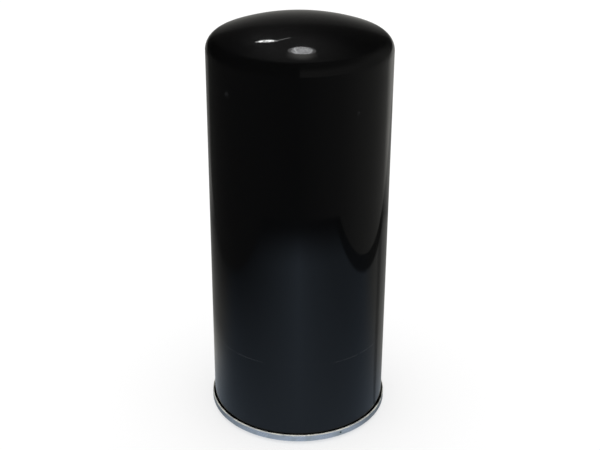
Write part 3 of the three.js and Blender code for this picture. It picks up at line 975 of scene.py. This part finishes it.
# How bright the table is across its width: (x in millimetres, level). It ends at 207 on the right,
# in a dark edge.
TABLE_LEVELS = [
    (-212, 0.03), (-200, 0.05), (-140, 0.13), (-60, 0.25), (0, 0.35), (60, 0.26), (140, 0.18),
    (207, 0.15), (213, 0.02), (240, 0.02),
]
SHADOW_FROM = (42, -20)
SHADOW_HEADING = 40  # degrees from +X towards +Y


def table_card():
    """The pale table top that the can's lower half mirrors. It ends close by, so the upper half is dark."""
    left, right = TABLE_LEVELS[0][0], TABLE_LEVELS[-1][0]
    points = []
    for a in np.radians(np.linspace(-60, 60, 41)):
        x, y = TABLE_FRONT * math.sin(a), -TABLE_FRONT * math.cos(a)
        if left <= x <= right:
            points.append((x, y))
    points += [(right, TABLE_BACK), (left, TABLE_BACK)]
    f, light = graded("table_glow")
    _, reach, _ = f.polar()
    x, y, _ = f.node("SeparateXYZ", {0: f.place}).outputs
    level = f.ramp(x, [(at * MM, share) for at, share in TABLE_LEVELS])
    near = f.math("MULTIPLY", f.span(reach, 0.075, 0.125, 0.16, 0.0), f.span(x, -0.04, 0.0, 1.0, 0.0))
    near = f.math("MULTIPLY", near, f.span(y, -0.03, 0.04))
    level = f.math("ADD", level, near)
    level = f.math("MULTIPLY", level, f.span(reach, 0.238, 0.308, 1.0, 0.04))
    behind = f.span(y, 0.1, 0.3)
    level = f.math("MAXIMUM", level, f.math("MULTIPLY", behind, 0.22))
    # The filter's own shadow runs off to the right and back.
    bearing = f.math("ARCTAN2", f.math("SUBTRACT", y, SHADOW_FROM[1] * MM),
                     f.math("SUBTRACT", x, SHADOW_FROM[0] * MM))
    aside = f.math("ABSOLUTE", f.math("SUBTRACT", bearing, math.radians(SHADOW_HEADING)))
    level = f.math("MULTIPLY", level, f.span(aside, 0.03, 0.17, 0.5, 1.0))
    f.feed(light.inputs["Color"], f.tint(f.span(y, -0.04, 0.05), (0.78, 0.98, 1.24), (1.0, 1.0, 0.96)))
    f.feed(light.inputs["Strength"], level)
    card = stage_mesh("table_card", [(px * MM, py * MM, -0.0002) for px, py in points],
                      [tuple(range(len(points)))], f.material)
    return reflection_only(card)


# How bright the room is low down, by the direction in degrees from straight behind, + to the right.
ROOM_LEVELS = [
    (-180, 0.01), (-72, 0.025), (-36, 0.035), (-28, 0.17), (0, 0.24), (26, 0.38), (34, 0.44),
    (48, 0.16), (64, 0.13), (100, 0.1), (130, 0.05), (180, 0.012),
]


# How bright the wall behind is by the sine of its elevation. It darkens sooner to both sides.
WALL_LEVELS = [
    (-0.06, 0.21), (0.05, 0.2), (0.14, 0.145), (0.21, 0.115), (0.34, 0.065), (0.42, 0.045),
    (0.485, 0.018), (0.6, 0.012), (1.0, 0.007),
]
ARCH = 2.4
HORIZON = (-0.06, 0.02)  # sines of the elevations between which the floor level gives way to the wall
ROOM_RADIUS = 4.0  # metres

# Directions of the lamps, as (azimuth, elevation).
ROUND_LAMP = (1.1, 53.2)
LAMP_GLARE = (1.1, 57.5)
TUBE_LAMP = (-13.3, 40.6)
TUBE_LAMP_END = (-7.4, 41.8)
TUBE_TILT = -37
LAMP_DISTANCE = 1.4  # metres


def bearing_vector(azimuth, elevation):
    """A direction from azimuth (from straight behind, + to the right) and elevation, in degrees."""
    a, e = math.radians(azimuth), math.radians(elevation)
    return Vector((math.sin(a) * math.cos(e), math.cos(a) * math.cos(e), math.sin(e)))


def room_card():
    """A dim room all round: greyer behind the filter and on its right, darker overhead."""
    ball = bmesh.new()
    bmesh.ops.create_icosphere(ball, subdivisions=5, radius=ROOM_RADIUS)
    mesh = bpy.data.meshes.new("room_card")
    ball.to_mesh(mesh)
    ball.free()
    card = bpy.data.objects.new("room_card", mesh)
    bpy.context.scene.collection.objects.link(card)
    f, light = graded("room_glow")
    direction = f.node("VectorMath", {0: f.place}, operation="NORMALIZE").outputs[0]
    x, y, z = f.node("SeparateXYZ", {0: direction}).outputs
    bearing = f.math("ARCTAN2", x, y)
    below = f.ramp(bearing, [(math.radians(at), level) for at, level in ROOM_LEVELS])
    below = f.math("MULTIPLY", below, f.span(z, *HORIZON, 1.0, 0.0))
    arch = f.math("MULTIPLY", f.math("MULTIPLY", bearing, bearing), ARCH)
    upward = f.ramp(f.math("ADD", z, arch), WALL_LEVELS)
    upward = f.math("MULTIPLY", upward, f.span(z, *HORIZON))
    lamp = f.node("VectorMath", {0: direction, 1: bearing_vector(*LAMP_GLARE)}, operation="DISTANCE")
    halo = f.span(lamp.outputs["Value"], 0.02, 0.1, 0.6, 0.0)
    halo = f.math("ADD", halo, f.span(lamp.outputs["Value"], 0.05, 0.4, 0.05, 0.0))
    beside = f.math("MULTIPLY", f.span(bearing, 0.35, 1.1, 0.0, 0.09), f.span(z, *HORIZON))
    upward = f.math("ADD", upward, f.math("MULTIPLY", beside, f.span(z, 0.5, 0.95, 1.0, 0.2)))
    total = f.math("ADD", f.math("ADD", below, upward), halo)
    f.feed(light.inputs["Color"], (1.0, 0.99, 0.94, 1))
    f.feed(light.inputs["Strength"], total)
    card.data.materials.append(f.material)
    return reflection_only(card)


def lamp_card(name, azimuth, elevation, width, height, tilt, strength, colour=(1, 1, 1)):
    """An oval lamp seen in the crown. Its place and size are angles in degrees, as seen from the crown,
    with azimuth counted from straight behind the filter towards +X."""
    heading = bearing_vector(azimuth, elevation)
    middle = Vector((0, 0, TOP * MM)) + heading * LAMP_DISTANCE
    across = heading.cross(Vector((0, 0, 1))).normalized()
    across.rotate(Matrix.Rotation(math.radians(tilt), 3, heading))
    upward = across.cross(heading)
    half = (LAMP_DISTANCE * math.tan(math.radians(width / 2)),
            LAMP_DISTANCE * math.tan(math.radians(height / 2)))
    turns = np.linspace(0, 2 * math.pi, 49)[:-1]
    points = [middle + across * half[0] * math.cos(t) + upward * half[1] * math.sin(t) for t in turns]
    card = stage_mesh(name, points, [tuple(range(len(points)))], glow(name + "_glow", colour, strength))
    return reflection_only(card)


def floor():
    """Plain white floor. Shiny surfaces mirror the table card in its place."""
    half = 6.0
    f = Finish("floor_white", Roughness=0.9)
    f.set("Base Color", f.tint(f.noise(3.0, 2), (0.44, 0.44, 0.44), (0.45, 0.45, 0.45)))
    f.set("Emission Color", (1, 1, 1, 1))
    f.set("Emission Strength", 0.56)
    f.set("Specular IOR Level", 0.0)
    corners = [(-half, -half, 0), (half, -half, 0), (half, half, 0), (-half, half, 0)]
    ground = stage_mesh("floor", [(x, y, -0.0001) for x, y, _ in corners], [(0, 1, 2, 3)], f.material)
    ground.visible_glossy = False


def sky():
    """Even white light from all round, which shiny surfaces don't mirror."""
    world = bpy.data.worlds.new("white_surround")
    bpy.context.scene.world = world
    world.use_nodes = True
    background = world.node_tree.nodes["Background"]
    background.inputs["Color"].default_value = (1, 1, 1, 1)
    background.inputs["Strength"].default_value = 1.14
    world.cycles_visibility.glossy = False


# ---- The camera ----
CAMERA_BACK = 565.1  # in front of the axis, along -Y
CAMERA_UP = 384.8
CAMERA_PITCH = 26.26  # degrees below the horizon
CAMERA_PAN = -0.055
CAMERA_ROLL = 0.33
LENS = 71.85


def camera():
    """The camera at the photograph's viewing angle: a plain lens without shift or depth of field."""
    data = bpy.data.cameras.new("camera")
    data.lens = LENS
    data.sensor_width = 36.0
    data.clip_start = 0.01
    data.clip_end = 50.0
    eye = bpy.data.objects.new("camera", data)
    bpy.context.scene.collection.objects.link(eye)
    pan = Matrix.Rotation(math.radians(CAMERA_PAN), 4, "Z")
    tilt = Matrix.Rotation(math.radians(90 - CAMERA_PITCH), 4, "X")
    roll = Matrix.Rotation(math.radians(CAMERA_ROLL), 4, "Z")
    place = Matrix.Translation((0, -CAMERA_BACK * MM, CAMERA_UP * MM))
    eye.matrix_world = place @ pan @ tilt @ roll
    bpy.context.scene.camera = eye


# ---- Build ----
camera()
PIECES = {
    "shell_can": shell_can,
    "seaming_lid": seaming_lid,
    "seam_compound": seam_compound,
    "sealing_gasket": sealing_gasket,
    "thread_plate": thread_plate,
    "drainback_lip": drainback_lip,
    "pleated_media": pleated_media,
    "pleat_clip": pleat_clip,
    "centre_tube": centre_tube,
    "bypass_cage": bypass_cage,
    "bypass_seat": bypass_seat,
    "bypass_seal": bypass_seal,
    "bypass_poppet": bypass_poppet,
    "spring_seat": spring_seat,
}
for node, make in PIECES.items():
    stand_for(make(), node)
drainback_diaphragm()
stand_for(end_cap("lower_end_cap", LOWER_CAP_Z, LOWER_HOLE_R, 1), "lower_end_cap")
stand_for(end_cap("upper_end_cap", UPPER_CAP_Z, UPPER_HOLE_R, -1), "upper_end_cap")
stand_for(potting("lower_potting", LOWER_HOLE_R, 1), "lower_potting")
stand_for(potting("upper_potting", UPPER_HOLE_R, -1), "upper_potting")
for number in (1, 2, 3):
    stand_for(media_band(f"media_band_{number}"), f"media_band_{number}")
bypass_spring()
element_spring()

floor()
sky()
table_card()
room_card()
lamp_card("round_lamp", *ROUND_LAMP, 7.4, 6.4, 0, 8.2, (0.97, 0.98, 1.0))
lamp_card("round_lamp_rim", *ROUND_LAMP, 9.6, 6.9, 0, 0.9)
lamp_card("tube_lamp", *TUBE_LAMP, 5.0, 1.7, TUBE_TILT, 30.0)
lamp_card("tube_lamp_rim", *TUBE_LAMP, 7.4, 2.4, TUBE_TILT, 2.5)
lamp_card("tube_lamp_end", *TUBE_LAMP_END, 6.4, 0.5, 20, 1.6)

scene = bpy.context.scene
scene.view_settings.view_transform = "Standard"
scene.view_settings.look = "None"
